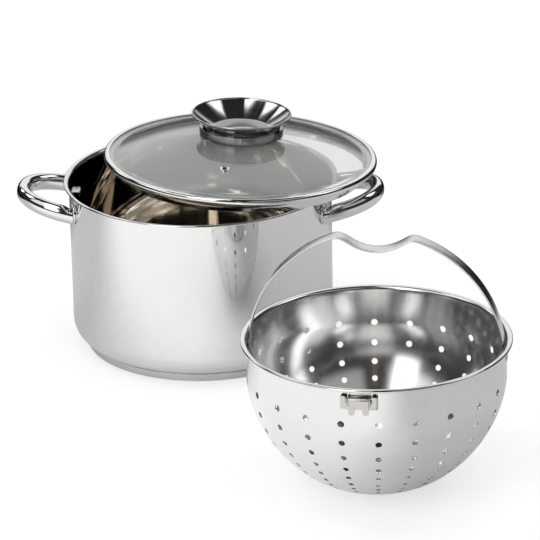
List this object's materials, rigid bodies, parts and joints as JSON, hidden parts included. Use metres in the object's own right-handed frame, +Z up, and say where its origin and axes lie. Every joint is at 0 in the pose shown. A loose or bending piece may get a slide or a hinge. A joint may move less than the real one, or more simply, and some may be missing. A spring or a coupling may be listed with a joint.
{
  "type": "cooking pot with strainer",
  "caption": "Stainless steel cooking pot with side handles, a glass lid with a dished knob, and a lift-out perforated strainer with a swinging carrying bail and a rim clip.",
  "frame": {"origin": "middle of the pot's base, on the surface that it stands on", "axes": "+Z up, -Y towards the strainer and the front, +X towards the pot's right handle, which is turned 2.5 degrees from it"},
  "size_m": [0.4361, 0.5745, 0.2214],
  "materials": {
    "polished_steel": "mirror-polished stainless steel",
    "satin_steel": "satin-brushed stainless steel",
    "aluminium": "plain rolled aluminium, sealed inside the base",
    "clear_glass": "clear tempered glass",
    "silicone": "matt black silicone"
  },
  "bodies": {
    "pot": {"pot_shell": "polished_steel", "base_cap": "satin_steel", "base_core": "aluminium", "handle_left": "polished_steel", "handle_right": "polished_steel", "handle_plate_left_front": "polished_steel", "handle_plate_left_rear": "polished_steel", "handle_plate_right_front": "polished_steel", "handle_plate_right_rear": "polished_steel", "inner_lug_left": "satin_steel", "inner_lug_right": "satin_steel"},
    "lid": {"lid_glass": "clear_glass", "lid_rim": "polished_steel", "vent_eyelet": "polished_steel", "knob_base": "satin_steel", "knob_dish": "satin_steel", "knob_screw": "satin_steel", "knob_washer": "satin_steel", "knob_seal": "silicone"},
    "strainer": {"strainer_bowl": "polished_steel", "pivot_rivet_left": "satin_steel", "pivot_rivet_right": "satin_steel", "pivot_washer_left": "satin_steel", "pivot_washer_right": "satin_steel", "clip_bracket": "satin_steel", "clip_pin": "satin_steel"},
    "bail": {"bail_strip": "satin_steel"},
    "hook": {"clip_hook": "satin_steel"}
  },
  "joints": [
    {"name": "lid_lift", "type": "slide", "parent": "pot", "child": "lid", "axis": [0, 0, 1], "range_m": [0, 0.15]},
    {"name": "strainer_lift", "type": "slide", "parent": "pot", "child": "strainer", "axis": [0, 0, 1], "range_m": [0, 0.25]},
    {"name": "bail_swing", "type": "hinge", "parent": "strainer", "child": "bail", "pos_m": [0.1515, -0.3171, 0.118], "axis": [0.9871, -0.1599, 0], "range_deg": [-80, 80]},
    {"name": "hook_swing", "type": "hinge", "parent": "strainer", "child": "hook", "pos_m": [0.13327, -0.42963, 0.1216], "axis": [-0.9871, 0.1599, 0], "range_deg": [0, 90]}
  ]
}
